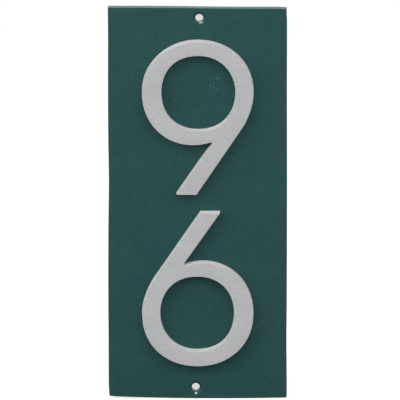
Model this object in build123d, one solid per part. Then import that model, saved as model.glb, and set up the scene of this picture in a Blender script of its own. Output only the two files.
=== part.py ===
from build123d import *
from math import cos, radians, tan
import os

# House number plaque, sand-cast in one piece: a flat plate with two bold raised figures.
# Frame: the back face lies on the plane Y = 0 and faces +Y towards the wall, the front faces -Y,
# Z is up and X runs to the right as the plaque is read. The origin is the middle of the back face.
# Sizes are in millimetres and angles in degrees.

# The figure nine, drawn about the middle of its bowl, and turned by half a turn as the six
figure_height = 101.6
figure_relief = 6.35
figure_draft = 1.0
figure_edge_bevel = 0.2
bowl_width = 71.4
bowl_height = 68.7
bowl_fullness = 0.57
bowl_low_shift = 3.0
counter_width = 47.2
counter_height = 49.9
counter_fullness = 0.61
counter_shift_right = 0.2
counter_shift_down = 0.2

# The straight leg, which leaves the bowl's shoulder and ends in a level foot
shoulder_inset = 8.6
shoulder_drop = 24.5
shoulder_fullness = 0.32
leg_outer_lean = 33.5
leg_inner_lean = 34.4
foot_width = 12.9
crotch_rise = 2.65
crotch_radius = 0.8

# The plate, sized by the margins around the two figures
figure_gap = 12.5
top_margin = 20.85
bottom_margin = 23.7
side_margin = 21.4
plate_thickness = 4.8
plate_draft = 1.0
plate_corner_radius = 0.8
plate_edge_radius = 0.5

# Edges fettled by eye, so a little out of true
left_lean = 0.7
right_lean = 0.3
top_right_drop = 0.6
bottom_left_rise = 1.4
bottom_right_rise = 0.6
bottom_low_shift = 4.5

# Two countersunk screw holes, drilled by eye near the middle of the short edges
hole_diameter = 5.2
hole_edge_distance = 7.3
countersink_flare = 1.55
countersink_angle = 90.0
top_hole_shift = 0.95
bottom_hole_shift = -1.25

foot_level = bowl_height / 2 - figure_height
shoulder_place = bowl_width / 2 - shoulder_inset
foot_right_place = shoulder_place + (foot_level + shoulder_drop) * tan(radians(leg_outer_lean))
foot_left_place = foot_right_place - foot_width
plate_height = top_margin + figure_height + figure_gap + figure_height + bottom_margin
plate_width = bowl_width + 2 * side_margin
plate_top = plate_height / 2
plate_bottom = -plate_height / 2
nine_bowl_level = plate_top - top_margin - bowl_height / 2
six_bowl_level = plate_bottom + bottom_margin + bowl_height / 2
back_plane = Plane.XZ
front_plane = Plane.XZ.offset(plate_thickness)


def bowl_quarter(start, end, fullness, leaves_upright):
    """Quarter of a bowl between two extremes, square to the axis at both and swelled by the fullness."""
    across = fullness * (end.X - start.X)
    up = fullness * (end.Y - start.Y)
    if leaves_upright:
        return Bezier(start, start + Vector(0, up), end - Vector(across, 0), end)
    return Bezier(start, start + Vector(across, 0), end - Vector(0, up), end)


def counter_face(inset):
    """The open eye of the bowl, a closed oval of four quarters, opened out all round by the inset."""
    middle = Vector(counter_shift_right, -counter_shift_down)
    across = Vector(counter_width / 2 + inset, 0)
    up = Vector(0, counter_height / 2 + inset)
    return make_face([
        bowl_quarter(middle + across, middle + up, counter_fullness, True),
        bowl_quarter(middle + up, middle - across, counter_fullness, False),
        bowl_quarter(middle - across, middle - up, counter_fullness, True),
        bowl_quarter(middle - up, middle + across, counter_fullness, False),
    ])


def leg_edge(foot_place, lean, inset, level):
    """Point at a level on a leaning edge of the leg, from its place at the foot, moved by the inset."""
    aside = inset / cos(radians(lean))
    along = (level - foot_level) * tan(radians(lean))
    return Vector(foot_place + aside + along, level)


def figure_face(inset):
    """Outer outline of the figure: bowl, rounded crotch, leg, foot and shoulder, drawn in by the inset."""
    half_width = bowl_width / 2 - inset
    half_height = bowl_height / 2 - inset
    top = Vector(0, half_height)
    left = Vector(-half_width, 0)
    right = Vector(half_width, 0)
    low = Vector(-bowl_low_shift, -half_height)
    shoulder = leg_edge(foot_right_place, leg_outer_lean, -inset, -shoulder_drop)
    foot_right = leg_edge(foot_right_place, leg_outer_lean, -inset, foot_level + inset)
    foot_left = leg_edge(foot_left_place, leg_inner_lean, inset, foot_level + inset)
    crotch = leg_edge(foot_left_place, leg_inner_lean, inset, low.Y + crotch_rise)
    handle = shoulder_fullness * (right - shoulder).length
    along_leg = (shoulder - foot_right).normalized() * handle
    outline = make_face([
        TangentArc(low, crotch, tangent=(1, 0)),
        Line(crotch, foot_left),
        Line(foot_left, foot_right),
        Line(foot_right, shoulder),
        Bezier(shoulder, shoulder + along_leg, right - Vector(0, handle), right),
        bowl_quarter(right, top, bowl_fullness, True),
        bowl_quarter(top, left, bowl_fullness, False),
        bowl_quarter(left, low, bowl_fullness, True),
    ])
    crotch_vertex = outline.vertices().sort_by_distance(crotch)[0]
    return fillet(crotch_vertex, radius=crotch_radius + inset)


def raised_figure():
    """The figure carried up from within the plate, narrowing by its draft and then by its edge bevel."""
    slope = tan(radians(figure_draft))
    root = -plate_thickness / 2
    bevel_foot = figure_relief - figure_edge_bevel
    bevel_inset = bevel_foot * slope
    face_inset = bevel_inset + figure_edge_bevel
    steps = [(root, root * slope), (bevel_foot, bevel_inset), (figure_relief, face_inset)]
    outside = loft([Pos(0, 0, level) * figure_face(inset) for level, inset in steps], ruled=True)
    eye = loft([Pos(0, 0, level) * counter_face(inset) for level, inset in steps], ruled=True)
    return outside - eye


def plate_face():
    """Outline of the plate at the wall: two leaning sides, a sloping top and a bowed lower edge."""
    top_left = Vector(-plate_width / 2 - left_lean / 2, plate_top)
    top_right = Vector(plate_width / 2 - right_lean / 2, plate_top - top_right_drop)
    bottom_right = Vector(plate_width / 2 + right_lean / 2, plate_bottom + bottom_right_rise)
    bottom_low = Vector(bottom_low_shift, plate_bottom)
    bottom_left = Vector(-plate_width / 2 + left_lean / 2, plate_bottom + bottom_left_rise)
    outline = make_face([
        Line(bottom_left, top_left),
        Line(top_left, top_right),
        Line(top_right, bottom_right),
        ThreePointArc(bottom_right, bottom_low, bottom_left),
    ])
    return fillet(outline.vertices(), radius=plate_corner_radius)


def plate_body():
    """The plate carried forward from the wall, narrowing by its draft, with its front edge eased."""
    plate = extrude(back_plane * plate_face(), amount=plate_thickness, taper=plate_draft)
    front_edges = plate.faces().sort_by(Axis.Y)[0].edges()
    return fillet(front_edges, radius=plate_edge_radius)


def screw_hole(shift, level):
    """Cutter for one hole right through the plate, with its countersink opening to the front."""
    radius = hole_diameter / 2
    flare_depth = countersink_flare / tan(radians(countersink_angle / 2))
    front_at_zero = (Align.CENTER, Align.CENTER, Align.MAX)
    mouth = Cone(radius, radius + countersink_flare, flare_depth, align=front_at_zero)
    bore = Cylinder(radius, 2 * plate_thickness)
    return front_plane * Pos(shift, level, 0) * (bore + mouth)


plaque = plate_body()
plaque += front_plane * Pos(0, nine_bowl_level, 0) * raised_figure()
plaque += front_plane * Pos(0, six_bowl_level, 0) * Rot(0, 0, 180) * raised_figure()
plaque -= screw_hole(top_hole_shift, plate_top - hole_edge_distance)
plaque -= screw_hole(bottom_hole_shift, plate_bottom + hole_edge_distance)

os.makedirs("parts", exist_ok=True)
export_step(plaque, "parts/cast_plaque.step")
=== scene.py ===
from functools import reduce
from math import cos, pi, radians, sin, tan

import bpy
import numpy as np
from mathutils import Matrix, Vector
from mathutils.geometry import delaunay_2d_cdt


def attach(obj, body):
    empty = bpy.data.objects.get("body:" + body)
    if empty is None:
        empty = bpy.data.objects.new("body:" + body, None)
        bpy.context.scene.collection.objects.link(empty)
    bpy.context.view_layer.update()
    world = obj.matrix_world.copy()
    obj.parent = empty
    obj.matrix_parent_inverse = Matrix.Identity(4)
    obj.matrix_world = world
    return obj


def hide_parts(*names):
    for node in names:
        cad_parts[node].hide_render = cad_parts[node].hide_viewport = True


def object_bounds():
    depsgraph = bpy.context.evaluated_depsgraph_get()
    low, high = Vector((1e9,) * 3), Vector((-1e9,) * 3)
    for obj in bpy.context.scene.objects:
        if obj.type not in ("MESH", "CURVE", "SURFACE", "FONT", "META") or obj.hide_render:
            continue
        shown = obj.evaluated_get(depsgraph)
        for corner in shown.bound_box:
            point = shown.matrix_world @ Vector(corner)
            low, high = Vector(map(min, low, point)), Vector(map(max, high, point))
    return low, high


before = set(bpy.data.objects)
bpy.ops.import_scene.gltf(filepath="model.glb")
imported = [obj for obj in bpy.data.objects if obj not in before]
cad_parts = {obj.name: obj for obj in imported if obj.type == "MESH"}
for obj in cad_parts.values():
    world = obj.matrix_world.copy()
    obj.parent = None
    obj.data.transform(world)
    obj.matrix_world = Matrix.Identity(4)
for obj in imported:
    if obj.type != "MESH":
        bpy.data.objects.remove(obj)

cad_low, cad_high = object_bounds()

# The plate: a flat slab of sand-cast aluminium, its edges fettled by eye and so a little out of true.
# It is screwed to a wall through two holes, drilled and countersunk from the front near its short edges.
# Sizes are in metres and angles in degrees.

plate_thickness = 0.0048
plate_draft = 1.0
plate_corners = ((0.0572, -0.12955), (0.0571, 0.12950), (-0.05744, 0.13011), (-0.0572, -0.12870))
plate_corner_radii = (0.0008, 0.0011, 0.0008, 0.0011)
lower_edge_low = (0.0045, -0.13010)
lower_edge_band = 0.0008
front_edge_radius = 0.0002
back_edge_radius = 0.00015
side_points = 90
corner_points = 9
front_edge_points = 7
back_edge_points = 4
crease_angle = 40.0
merge_distance = 1e-9

# Hollows filed into the edges, or swellings where the depth is negative: x, z, depth and reach
edge_hollows = (
    (-0.0574, 0.1080, 0.00012, 0.012),
    (-0.0572, 0.0140, 0.00042, 0.015),
    (-0.0573, -0.0560, -0.00017, 0.020),
    (-0.0577, -0.1274, 0.00034, 0.0026),
    (0.0578, 0.1268, 0.00030, 0.0034),
    (0.0572, 0.0800, 0.00008, 0.020),
    (0.0572, 0.0020, -0.00008, 0.022),
    (0.0572, -0.0920, 0.00022, 0.014),
    (-0.0250, 0.1300, -0.00014, 0.016),
    (0.0240, 0.1300, 0.00015, 0.018),
)

# Screw holes, drilled by eye: x and z of each axis
screw_holes = ((0.00095, 0.122825), (-0.00125, -0.122825))
hole_radius = 0.0026
countersink_flare = 0.00155
rim_radius = 0.00018
hole_points = 96
rim_points = 6
cone_rings = 9
hole_turns = -np.linspace(0, 2 * pi, hole_points, endpoint=False)


def rounded_corner(before, corner, after, radius):
    """Points that round a corner: the arc of the circle that touches both lines, from one touching point
    to the other, each point a mix of the two by the sines of the angles that are left."""
    to_before = (before - corner) / np.linalg.norm(before - corner)
    to_after = (after - corner) / np.linalg.norm(after - corner)
    half = np.arccos(to_before @ to_after) / 2
    middle = to_before + to_after
    centre = corner + middle / np.linalg.norm(middle) * radius / np.sin(half)
    first = corner + to_before * radius / np.tan(half) - centre
    last = corner + to_after * radius / np.tan(half) - centre
    swing = pi - 2 * half
    share = np.linspace(0, 1, corner_points)[:, None]
    return centre + (first * np.sin((1 - share) * swing) + last * np.sin(share * swing)) / np.sin(swing)


def outward(path):
    """Outward normals of a closed path: at each point the mitre of the two edges that meet there."""
    along = np.roll(path, -1, axis=0) - path
    after = np.stack([along[:, 1], -along[:, 0]], axis=1) / np.linalg.norm(along, axis=1)[:, None]
    before = np.roll(after, 1, axis=0)
    return (before + after) / (1 + (before * after).sum(axis=1))[:, None]


def carried(path, profile):
    """A profile carried round a closed path: each point of the path moves along its normal by the profile's
    offset and to its depth. Returns the rings of points, their numbers and the walls between them."""
    offset, depth = profile[:, 0, None, None], profile[:, 1]
    across = path[None] + outward(path)[None] * offset
    points = np.insert(across, 1, depth[:, None], axis=2)
    numbers = np.arange(points.shape[0] * points.shape[1]).reshape(points.shape[:2])
    onward = np.roll(numbers, -1, axis=1)
    walls = np.stack([numbers[:-1], onward[:-1], onward[1:], numbers[1:]], axis=2)
    return points, numbers, walls.reshape(-1, 4)


def filled(loops):
    """Triangles that fill the area between loops: a Delaunay net, less what an even-odd count of the edges
    to the right of a triangle's middle finds outside."""
    points = np.vstack(loops)
    sizes = [len(loop) for loop in loops]
    starts = np.cumsum([0] + sizes[:-1])
    edges = np.vstack([start + np.stack([np.arange(size), np.roll(np.arange(size), -1)], axis=1)
                       for start, size in zip(starts, sizes)])
    net = delaunay_2d_cdt(points.tolist(), edges.tolist(), [], 0, merge_distance, True)
    triangles = np.array(net[3])[:, 0][np.array(net[2])]
    middle = points[triangles].mean(axis=1)[:, None]
    begin, end = points[edges[:, 0]][None], points[edges[:, 1]][None]
    spans = (begin[..., 1] > middle[..., 1]) != (end[..., 1] > middle[..., 1])
    rise = np.where(spans, end[..., 1] - begin[..., 1], 1)
    crossing = begin[..., 0] + (middle[..., 1] - begin[..., 1]) * (end[..., 0] - begin[..., 0]) / rise
    inside = (spans & (crossing > middle[..., 0])).sum(axis=1) % 2 == 1
    return triangles[inside]


def rounded_step(start, end, corner, steps):
    """Quarter round of a profile from start to end about their shared corner, as a quadratic curve."""
    share = np.linspace(0, 1, steps)[:, None]
    return (1 - share) ** 2 * start + 2 * (1 - share) * share * corner + share ** 2 * end


def placed(name, data):
    """A new object in the scene that holds the data."""
    made = bpy.data.objects.new(name, data)
    bpy.context.scene.collection.objects.link(made)
    return made


def closed_piece(name, bands):
    """Piece made of the bands' walls, closed by a flat back between the bands' first rings and a flat front
    between their last ones. The walls are shaded smooth, but for creases."""
    base = np.cumsum([0] + [band[0].size // 3 for band in bands])
    points = np.vstack([band[0].reshape(-1, 3) for band in bands])
    walls = np.vstack([band[2] + first for band, first in zip(bands, base)])
    rings = [np.concatenate([band[1][end] + first for band, first in zip(bands, base)]) for end in (0, -1)]
    back, front = (filled([band[0][end][:, ::2] for band in bands]) for end in (0, -1))
    faces = walls.tolist() + rings[0][back[:, ::-1]].tolist() + rings[1][front].tolist()
    mesh = bpy.data.meshes.new(name)
    mesh.from_pydata(points.tolist(), [], faces)
    mesh.polygons.foreach_set("use_smooth", np.arange(len(faces)) < len(walls))
    mesh.set_sharp_from_angle(angle=radians(crease_angle))
    mesh.update()
    return placed(name, mesh)


def plate_outline():
    """Closed outline at the wall: rounded corners joined by four straight sides, the lowest bowed to a
    parabola, all moved in by the sum of the hollows, each a Gaussian of the distance from its middle."""
    corners = np.array(plate_corners)
    rounds = [rounded_corner(corners[i - 1], corners[i], corners[(i + 1) % 4], plate_corner_radii[i])
              for i in range(4)]
    sides = [np.linspace(rounds[i][-1], rounds[(i + 1) % 4][0], side_points)[1:-1] for i in range(4)]
    path = np.vstack([run for pair in zip(rounds, sides) for run in pair])
    chord = np.polyval(np.polyfit(*corners[[3, 0]].T, 1), path[:, 0])
    bow = np.polyval(np.polyfit(*np.vstack([corners[[3, 0]], lower_edge_low]).T, 2), path[:, 0])
    at_edge = np.clip(1 - (path[:, 1] - chord) / lower_edge_band, 0, 1)
    path[:, 1] += (bow - chord) * at_edge
    places, depth, reach = np.split(np.array(edge_hollows), [2, 3], axis=1)
    distance = np.linalg.norm(path[None] - places[:, None], axis=2)
    hollow = (depth * np.exp(-(distance / reach) ** 2 / 2)).sum(axis=0)
    return path - outward(path) * hollow[:, None]


def eased_back(radius):
    """The first step of a section: the back edge, rounded by the radius."""
    return rounded_step(np.array([-radius, 0]), np.array([0, -radius]), np.zeros(2), back_edge_points)


def plate_profile():
    """Section of the plate's edge from back to front: eased back edge, side that leans in by the draft,
    and rounded front edge."""
    lean = tan(radians(plate_draft)) * plate_thickness
    front = rounded_step(np.array([-lean, front_edge_radius - plate_thickness]),
                         np.array([-lean - front_edge_radius, -plate_thickness]),
                         np.array([-lean, -plate_thickness]), front_edge_points)
    return np.vstack([eased_back(back_edge_radius), front])


def hole_profile():
    """Section of a hole from back to front: eased back rim, straight bore, countersink at 45 degrees, and
    eased mouth."""
    cone_foot = np.array([0, countersink_flare - plate_thickness])
    cone_end = np.array([rim_radius - countersink_flare, rim_radius - plate_thickness])
    mouth = rounded_step(cone_end, np.array([-rim_radius - countersink_flare, -plate_thickness]),
                         np.array([-countersink_flare, -plate_thickness]), rim_points)
    return np.vstack([eased_back(rim_radius), np.linspace(cone_foot, cone_end, cone_rings), mouth[1:]])


def hole_circle(shift, level):
    """Circle of the bore about its axis, run clockwise so that its normals point into the hole."""
    return np.array([shift, level]) + hole_radius * np.stack([np.cos(hole_turns), np.sin(hole_turns)], axis=1)


plate_bands = [carried(plate_outline(), plate_profile())]
plate_bands += [carried(hole_circle(*hole), hole_profile()) for hole in screw_holes]
plate = closed_piece("plate", plate_bands)

# One painted glint for each countersink near its lower lip, laid on as bright bare metal: turn from the
# lowest point, half width, height up the cone, reach and strength
countersink_glints = ((22.0, 20.0, 0.35, 0.24, 0.5), (2.0, 9.0, 0.80, 0.30, 1.0))
glint_fade = 1.6
glint_top = 0.99


def lay_on(piece, attribute, domain, values):
    """Values laid on a piece's points or faces, as an attribute that its paint reads."""
    layer = piece.data.attributes.new(attribute, "FLOAT", domain)
    layer.data.foreach_set("value", values)


def glint_share(turn, half_width, height, reach, strength):
    """How strongly a hole's points carry the painted glint: two ramps that fall off from the middle of the
    mark, one round the hole and one up the cone, multiplied."""
    round_the_hole = np.angle(np.exp(1j * (hole_turns + pi / 2)))
    up_the_cone = (countersink_flare - plate_thickness - hole_profile()[:, 1]) / countersink_flare
    across = np.clip(glint_fade - np.abs(round_the_hole - radians(turn)) / radians(half_width), 0, 1)
    upward = np.clip(glint_fade - np.abs(up_the_cone - height) / reach, 0, 1) * (up_the_cone < glint_top)
    return strength * (upward[:, None] * across[None]).ravel()


plain_edge = np.zeros(plate_bands[0][1].size)
bore_rings = np.isclose(hole_profile()[:, 0], 0).astype(float)
drilled_shares = [np.repeat(bore_rings, hole_points)] * len(screw_holes)
glint_shares = [glint_share(*mark) for mark in countersink_glints]
lay_on(plate, "drilled", "POINT", np.concatenate([plain_edge] + drilled_shares))
lay_on(plate, "painted_glint", "POINT", np.concatenate([plain_edge] + glint_shares))

green_paint = (0.0183, 0.0668, 0.0662)
mark_paint = (0.085, 0.150, 0.145, 1.0)
# The bores' dark metal colour is painted shade inside the holes.
bore_shade_metal = (0.13, 0.125, 0.11, 1.0)
# Bright metal of the painted glint on each countersink's lower lip
glint_metal = (0.55, 0.60, 0.63, 1.0)
mark_cover = 0.8
mark_depth = 0.002
drilled_shine = 0.4
green_specular = 0.15
skin_height = 0.00004
peel_height = 0.00005
nib_height = 0.00015

# Textures of the casting and its paint: scale, detail and roughness of the noise, and the range it is
# spread over
noise_span = (0.3, 0.7)
green_mottle = (38.0, 3.0, 0.55, 0.95, 1.05)
green_speckle = (1150.0, 2.0, 0.6, 0.84, 1.16)
green_roughness = (320.0, 3.0, 0.6, 0.38, 0.5)
cast_skin = (760.0, 4.0, 0.6)
paint_peel = (210.0, 2.0, 0.5)

# Nibs of grit in the paint and light scratches: x, z, half width, half height and strength
nibs = (
    (-0.0148, 0.0686, 0.0008, 0.0008, 1.0),
    (0.0499, 0.0959, 0.0008, 0.0008, 0.85),
    (-0.0360, 0.0256, 0.0008, 0.0008, 0.6),
    (0.0410, 0.0392, 0.0008, 0.0007, 0.55),
    (0.0367, 0.1218, 0.0008, 0.0007, 0.55),
    (0.0424, -0.0780, 0.0009, 0.0007, 0.6),
    (0.0418, -0.0708, 0.0008, 0.0007, 0.55),
    (0.0434, -0.1195, 0.0008, 0.0008, 0.5),
    (0.0073, -0.0699, 0.0006, 0.0011, 0.5),
    (0.0305, -0.0122, 0.0009, 0.0007, 0.4),
    (-0.0415, 0.1047, 0.0008, 0.0008, 0.35),
)
scratches = (
    (0.0134, 0.0832, 0.0022, 0.0006, 0.85),
    (0.0121, 0.0833, 0.0008, 0.0009, 1.2),
    (0.0082, 0.0787, 0.0006, 0.0014, 0.9),
    (0.0082, 0.0820, 0.0006, 0.0009, 0.5),
    (0.0101, 0.0810, 0.0006, 0.0014, 0.5),
    (0.0101, 0.0774, 0.0006, 0.0008, 0.8),
    (0.0120, 0.0757, 0.0006, 0.0011, 0.65),
)


def add_node(tree, kind, inputs=None, **properties):
    """One new node: an input that is a socket gets a link, and any other value is set on it."""
    made = tree.nodes.new(kind)
    for name, value in properties.items():
        setattr(made, name, value)
    for key, value in (inputs or {}).items():
        if isinstance(value, bpy.types.NodeSocket):
            tree.links.new(value, made.inputs[key])
        else:
            made.inputs[key].default_value = value
    return made


def new_material(name):
    """A material with an empty node tree but for its output; returns it with its tree and output."""
    material = bpy.data.materials.new(name)
    material.use_nodes = True
    material.node_tree.nodes.clear()
    return material, material.node_tree, add_node(material.node_tree, "ShaderNodeOutputMaterial")


def noise(tree, place, scale, detail, roughness):
    """Fractal noise on a place vector, about 0.5, with features of about one over the scale in metres."""
    settings = {"Vector": place, "Scale": scale, "Detail": detail, "Roughness": roughness}
    return add_node(tree, "ShaderNodeTexNoise", settings).outputs["Fac"]


def ranged(tree, value, low, high, to_low, to_high):
    """A value carried from one range to another, held at the ends."""
    settings = {"Value": value, "From Min": low, "From Max": high, "To Min": to_low, "To Max": to_high}
    return add_node(tree, "ShaderNodeMapRange", settings).outputs["Result"]


def varied(tree, place, scale, detail, roughness, least, most):
    """Noise spread over a range from the least to the most."""
    return ranged(tree, noise(tree, place, scale, detail, roughness), *noise_span, least, most)


def maths(tree, operation, first, second):
    """Two values put together by one operation."""
    return add_node(tree, "ShaderNodeMath", {0: first, 1: second}, operation=operation).outputs[0]


def product(tree, first, second):
    """One value times another."""
    return maths(tree, "MULTIPLY", first, second)


def tinted(tree, colour, shade):
    """A colour made lighter or darker by a shade about 1."""
    made = add_node(tree, "ShaderNodeVectorMath", {0: colour, "Scale": shade}, operation="SCALE")
    return made.outputs["Vector"]


def mixed(tree, share, first, second):
    """A colour part of the way from the first to the second."""
    return add_node(tree, "ShaderNodeMix", {0: share, 6: first, 7: second}, data_type="RGBA").outputs[2]


def stretched(tree, place, factors):
    """A place vector stretched along each axis by that axis's factor."""
    made = add_node(tree, "ShaderNodeVectorMath", {0: place, 1: factors}, operation="MULTIPLY")
    return made.outputs["Vector"]


def apart(tree, place, spot):
    """Distance of a place vector from a spot."""
    return add_node(tree, "ShaderNodeVectorMath", {0: place, 1: spot}, operation="DISTANCE").outputs["Value"]


def laid_on(tree, attribute):
    """Value of an attribute that is laid on the piece."""
    return add_node(tree, "ShaderNodeAttribute", attribute_name=attribute).outputs["Fac"]


def bumped(tree, height):
    """Surface normal tipped by the slope of a height in metres."""
    return add_node(tree, "ShaderNodeBump", {"Height": height, "Distance": 1.0}).outputs["Normal"]


def spots_in_paint(tree, place, spots):
    """The highest of the spots' cones on the front face: each falls from its strength at the middle to 0 at
    its half width, its half height and the depth of a mark."""
    cones = []
    for x, z, half_width, half_height, strength in spots:
        factors = 1 / np.array([half_width, mark_depth, half_height])
        off_middle = apart(tree, stretched(tree, place, factors), factors * (x, -plate_thickness, z))
        cones.append(ranged(tree, off_middle, 1.0, 0.0, 0.0, strength))
    return reduce(lambda first, second: maths(tree, "MAXIMUM", first, second), cones)


def green_enamel():
    """Dark green enamel over a sand-cast skin: grain, soft mottle, nibs and scratches, with dark metal as
    painted shade in the drilled bores and bright metal as a painted glint on the countersinks."""
    material, tree, output = new_material("green_enamel")
    place = add_node(tree, "ShaderNodeTexCoord").outputs["Object"]
    nib = spots_in_paint(tree, place, nibs)
    marks = maths(tree, "MAXIMUM", nib, spots_in_paint(tree, place, scratches))
    shade = product(tree, varied(tree, place, *green_mottle), varied(tree, place, *green_speckle))
    paint = mixed(tree, product(tree, marks, mark_cover), tinted(tree, green_paint, shade), mark_paint)
    drilled = laid_on(tree, "drilled")
    painted_glint = laid_on(tree, "painted_glint")
    skin = product(tree, noise(tree, place, *cast_skin), skin_height)
    peel = product(tree, noise(tree, place, *paint_peel), peel_height)
    height = maths(tree, "ADD", maths(tree, "ADD", skin, peel), product(tree, nib, nib_height))
    surface = add_node(tree, "ShaderNodeBsdfPrincipled", {
        "Base Color": mixed(tree, painted_glint, mixed(tree, drilled, paint, bore_shade_metal), glint_metal),
        "Metallic": maths(tree, "MAXIMUM", product(tree, drilled, drilled_shine), painted_glint),
        "Roughness": varied(tree, place, *green_roughness),
        "Specular IOR Level": green_specular,
        "Normal": bumped(tree, height),
    })
    tree.links.new(surface.outputs["BSDF"], output.inputs["Surface"])
    return material


plate.data.materials.append(green_enamel())
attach(plate, "root")
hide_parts("cast_plaque")

# The figures: a bold nine and a six, cast in one with the plate and standing proud of it on steep walls.
# Their faces were linished flat, which eased the edges, and they are picked out in satin silver paint.
# The six is the nine turned by half a turn, but both patterns were cut by eye and differ a little.

figure_relief = 0.00635
figure_draft = 1.0
figure_root = 0.0003
figure_edge_radius = 0.0001
figure_edge_points = 6
curve_points = 56
wall_limit = 0.5

# The bowl and its eye. Each quarter of the eye has its fullness, from the upper right one on over the top
bowl_width = 0.0714
bowl_height = 0.0687
bowl_fullness = 0.57
bowl_low_shift = 0.003
eye_width = 0.0472
eye_height = 0.0499
eye_fullness = (0.586, 0.628, 0.61, 0.61)
eye_shift = (0.0004, -0.0002)

# The shoulder and the crotch. The bowl's low arc stops short of the crotch by its room, counted in radii
shoulder_drop = 0.0245
shoulder_fullness = 0.32
crotch_rise = 0.00265
crotch_radius = 0.0008
crotch_room = 3.5

# What differs between the two patterns. The crown has a fullness for its right and its left quarter, and the
# foot's drop is below the bowl's middle
nine_form = {
    "crown_height": 0.03405,
    "crown_fullness": (0.572, 0.552),
    "shoulder_inset": 0.0081,
    "outer_lean": 33.5,
    "inner_lean": 34.0,
    "foot_width": 0.0129,
    "foot_drop": 0.06735,
}
six_form = {
    "crown_height": 0.03473,
    "crown_fullness": (0.588, 0.576),
    "shoulder_inset": 0.0086,
    "outer_lean": 33.9,
    "inner_lean": 34.45,
    "foot_width": 0.01255,
    "foot_drop": 0.0674,
}

# Each figure's name, its sense (1 as drawn, -1 turned by half a turn), the level of its bowl's middle, and
# its form
figures = (("figure_nine", 1, 0.074925, nine_form), ("figure_six", -1, -0.072075, six_form))


def bent(first, second, third, fourth):
    """Cubic curve through its end points, drawn towards its two handles, without its last point."""
    share = np.linspace(0, 1, curve_points, endpoint=False)[:, None]
    back = 1 - share
    ends = back ** 3 * first + share ** 3 * fourth
    return ends + 3 * back ** 2 * share * second + 3 * back * share ** 2 * third


def quarter(start, end, fullness, leaves_upright):
    """Quarter of a bowl, square to the axes at both ends, its handles a share of the way to the corner."""
    across, up = (end - start) * np.eye(2) * fullness
    if leaves_upright:
        return bent(start, start + up, end - across, end)
    return bent(start, start + across, end - up, end)


def eye_outline():
    """The eye of the bowl: four quarters about its middle, each from one extreme to the next, run clockwise
    so that its normals point into the eye."""
    right = np.array([eye_width / 2, 0])
    up = np.array([0, eye_height / 2])
    extremes = (right, up, -right, -up)
    quarters = [quarter(extremes[i], extremes[(i + 1) % 4], eye_fullness[i], i % 2 == 0) for i in range(4)]
    return np.vstack(quarters)[::-1] + np.array(eye_shift)


def bowl_and_leg_outline(crown_height, crown_fullness, shoulder_inset, outer_lean, inner_lean,
                         foot_width, foot_drop):
    """Outer outline of the nine about its bowl's middle: a circular low arc up to the rounded crotch, the
    straight leg with its level foot, the curved shoulder and three quarters of the bowl."""
    top = np.array([0, crown_height])
    right = np.array([bowl_width / 2, 0])
    low = np.array([-bowl_low_shift, -bowl_height / 2])
    outer_slope = np.array([tan(radians(outer_lean)), 1.0])
    inner_slope = np.array([tan(radians(inner_lean)), 1.0])
    shoulder = right - np.array([shoulder_inset, shoulder_drop])
    foot_right = shoulder + outer_slope * (-foot_drop - shoulder[1])
    foot_left = foot_right - np.array([foot_width, 0])
    crotch = foot_left + inner_slope * (low[1] + crotch_rise - foot_left[1])
    reach, rise = crotch - low
    swing = np.linspace(0, 2 * np.arctan2(rise, reach), curve_points)[:, None]
    low_radius = (reach ** 2 + rise ** 2) / (2 * rise)
    low_arc = low + low_radius * np.hstack([np.sin(swing), 1 - np.cos(swing)])
    low_arc = low_arc[np.linalg.norm(low_arc - crotch, axis=1) > crotch_room * crotch_radius]
    handle = shoulder_fullness * np.linalg.norm(right - shoulder)
    along_leg = outer_slope / np.linalg.norm(outer_slope) * handle
    return np.vstack([
        low_arc,
        rounded_corner(low_arc[-1], crotch, foot_left, crotch_radius),
        foot_left,
        foot_right,
        bent(shoulder, shoulder + along_leg, right - np.array([0, handle]), right),
        quarter(right, top, crown_fullness[0], True),
        quarter(top, -right, crown_fullness[1], False),
        quarter(-right, low, bowl_fullness, True),
    ])


def figure_profile():
    """Section of a figure's wall from just inside the plate to its face: a wall that leans in by the draft,
    then a rounded edge."""
    lean = tan(radians(figure_draft))
    face = -plate_thickness - figure_relief
    foot = np.array([[lean * figure_root, figure_root - plate_thickness]])
    edge = rounded_step(np.array([-lean * figure_relief, face + figure_edge_radius]),
                        np.array([-lean * figure_relief - figure_edge_radius, face]),
                        np.array([-lean * figure_relief, face]), figure_edge_points)
    return np.vstack([foot, edge])


def wall_share(mesh):
    """1 on a face that looks sideways and 0 on one that looks forward or back."""
    normals = np.empty(3 * len(mesh.polygons), np.float32)
    mesh.polygons.foreach_get("normal", normals)
    return (np.abs(normals[1::3]) < wall_limit).astype(np.float32)


silver_paint = (0.464, 0.469, 0.479)
# The walls' lighter silver is a painted highlight for the light that falls on them from above.
wall_highlight_silver = (0.69, 0.69, 0.68)
silver_specular = 0.1
silver_grain_height = 0.00002
silver_mottle = (60.0, 3.0, 0.55, 0.97, 1.03)
silver_flake = (1500.0, 2.0, 0.7, 0.88, 1.12)
silver_roughness = (500.0, 3.0, 0.6, 0.42, 0.55)
silver_grain = (1100.0, 4.0, 0.6)
brush_stretch = (90.0, 90.0, 1300.0)
brush_marks = (1.0, 2.0, 0.6, 0.95, 1.05)


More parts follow.
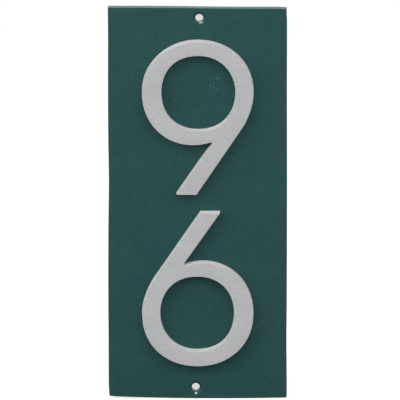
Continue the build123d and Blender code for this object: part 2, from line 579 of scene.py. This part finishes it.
def silver_enamel():
    """Satin silver paint over the linished casting, with a fine metallic grain and level brush marks. The
    walls get a lighter silver than the faces, a painted highlight for the light that falls on them from
    above."""
    material, tree, output = new_material("silver_enamel")
    place = add_node(tree, "ShaderNodeTexCoord").outputs["Object"]
    flaked = product(tree, varied(tree, place, *silver_mottle), varied(tree, place, *silver_flake))
    tone = product(tree, varied(tree, stretched(tree, place, brush_stretch), *brush_marks), flaked)
    on_face = tinted(tree, silver_paint, tone)
    on_wall = tinted(tree, wall_highlight_silver, tone)
    surface = add_node(tree, "ShaderNodeBsdfPrincipled", {
        "Base Color": mixed(tree, laid_on(tree, "wall"), on_face, on_wall),
        "Roughness": varied(tree, place, *silver_roughness),
        "Specular IOR Level": silver_specular,
        "Normal": bumped(tree, product(tree, noise(tree, place, *silver_grain), silver_grain_height)),
    })
    tree.links.new(surface.outputs["BSDF"], output.inputs["Surface"])
    return material


silver = silver_enamel()
for name, sense, level, form in figures:
    drawn = (bowl_and_leg_outline(**form), eye_outline())
    outlines = [sense * outline + np.array([0, level]) for outline in drawn]
    figure = closed_piece(name, [carried(outline, figure_profile()) for outline in outlines])
    lay_on(figure, "wall", "FACE", wall_share(figure.data))
    figure.data.materials.append(silver)
    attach(figure, "root")
    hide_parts("cast_plaque")

# The studio: a pale floor under the lower edge, white all round, and soft light from above and the front.
# The camera looks down on the plaque from far off, as the photograph does.

photo_width = 400
metres_per_pixel = 0.00064
sensor_width = 36.0
view_tilt = 16.0
view_distance = 10.667
view_depth = 3 * view_distance
aim = Vector((0.00144, -plate_thickness, 0.00245))
away = Vector((0, -cos(radians(view_tilt)), sin(radians(view_tilt))))

camera_data = bpy.data.cameras.new("camera")
camera_data.sensor_width = sensor_width
camera_data.lens = sensor_width * view_distance / (photo_width * metres_per_pixel)
camera_data.clip_end = view_depth
camera = placed("camera", camera_data)
camera.location = aim + away * view_distance
camera.rotation_euler = (-away).to_track_quat("-Z", "Y").to_euler()
bpy.context.scene.camera = camera

floor_reach = 3.0
floor_corners = np.array([(-1, -1), (1, -1), (1, 1), (-1, 1)]) * floor_reach
floor_mesh = bpy.data.meshes.new("floor")
floor_mesh.from_pydata(np.insert(floor_corners, 2, cad_low.z, axis=1).tolist(), [], [(0, 1, 2, 3)])
floor = placed("floor", floor_mesh)

# The floor's tone, and the distances between which it runs out to white or comes back from shade to full glow
floor_grey = (0.4, 0.4, 0.4, 1.0)
floor_lift = 0.7
floor_fade = (0.3, 0.9)
shade_fade = (0.010, 0.024)
shade_glow = 0.7


def seen_directly(tree):
    """1 where a ray comes from the camera, a reflection or a refraction, and 0 for soft bounced light."""
    path = add_node(tree, "ShaderNodeLightPath").outputs
    mirrored = maths(tree, "MAXIMUM", path["Is Glossy Ray"], path["Is Transmission Ray"])
    return maths(tree, "MAXIMUM", path["Is Camera Ray"], mirrored)


def seen_through(shift, level):
    """Place on the floor that the camera sees through a screw hole: its line of sight carried on down."""
    hole = Vector((shift, -plate_thickness / 2, level))
    sight = hole - camera.location
    return hole + sight * ((cad_low.z - level) / sight.z)


def pale_floor():
    """Pale floor that keeps the shadow near the plaque and runs out to plain white further off. It is shaded
    behind the plaque where it shows through the screw holes."""
    material, tree, output = new_material("pale_floor")
    place = add_node(tree, "ShaderNodeTexCoord").outputs["Object"]
    distance = add_node(tree, "ShaderNodeVectorMath", {0: place}, operation="LENGTH").outputs["Value"]
    far = product(tree, ranged(tree, distance, *floor_fade, 0.0, 1.0), seen_directly(tree))
    camera_ray = add_node(tree, "ShaderNodeLightPath").outputs["Is Camera Ray"]
    from_holes = [apart(tree, place, seen_through(*hole)) for hole in screw_holes]
    glow = ranged(tree, maths(tree, "MINIMUM", *from_holes), *shade_fade, shade_glow, 1.0)
    lift_strength = product(tree, glow, product(tree, camera_ray, floor_lift))
    pale = add_node(tree, "ShaderNodeBsdfDiffuse", {"Color": floor_grey}).outputs[0]
    lift = add_node(tree, "ShaderNodeEmission", {"Strength": lift_strength}).outputs[0]
    near = add_node(tree, "ShaderNodeAddShader", {0: pale, 1: lift}).outputs[0]
    white = add_node(tree, "ShaderNodeEmission", {"Strength": glow}).outputs[0]
    mix = add_node(tree, "ShaderNodeMixShader", {"Fac": far, 1: near, 2: white})
    tree.links.new(mix.outputs[0], output.inputs["Surface"])
    return material


floor_mesh.materials.append(pale_floor())

room_white = (1.0, 1.0, 1.0, 1.0)
room_light = 0.315


def white_room():
    """World that is plain white where it is seen directly and gives a dimmer light on the object."""
    room = bpy.data.worlds.new("white_room")
    room.use_nodes = True
    tree = room.node_tree
    tree.nodes.clear()
    strength = ranged(tree, seen_directly(tree), 0.0, 1.0, room_light, 1.0)
    walls = add_node(tree, "ShaderNodeBackground", {"Color": room_white, "Strength": strength})
    add_node(tree, "ShaderNodeOutputWorld", {"Surface": walls.outputs[0]})
    return room


bpy.context.scene.world = white_room()

# Lamps: name, place, width, depth and watts
soft_lamps = (
    ("front_light", (-0.6, -5.2, 4.7), 12.5, 5.0, 384.0),
    ("left_light", (-5.0, -2.6, 2.6), 4.0, 4.0, 125.0),
    ("right_light", (5.0, -2.6, 2.6), 4.0, 4.0, 82.0),
    ("overhead_light", (-1.2, -1.2, 3.4), 7.0, 2.4, 19.0),
    ("back_light", (0.5, 3.2, 2.2), 2.8, 2.2, 50.0),
)


def soft_light(name, place, width, depth, watts):
    """A large soft lamp at a place, turned to the middle of the plaque and hidden from the camera."""
    lamp = bpy.data.lights.new(name, "AREA")
    lamp.shape = "RECTANGLE"
    lamp.size = width
    lamp.size_y = depth
    lamp.energy = watts
    holder = placed(name, lamp)
    holder.location = place
    holder.rotation_euler = (-Vector(place)).to_track_quat("-Z", "Y").to_euler()
    holder.visible_camera = False


for lamp in soft_lamps:
    soft_light(*lamp)

bpy.context.scene.view_settings.view_transform = "Standard"
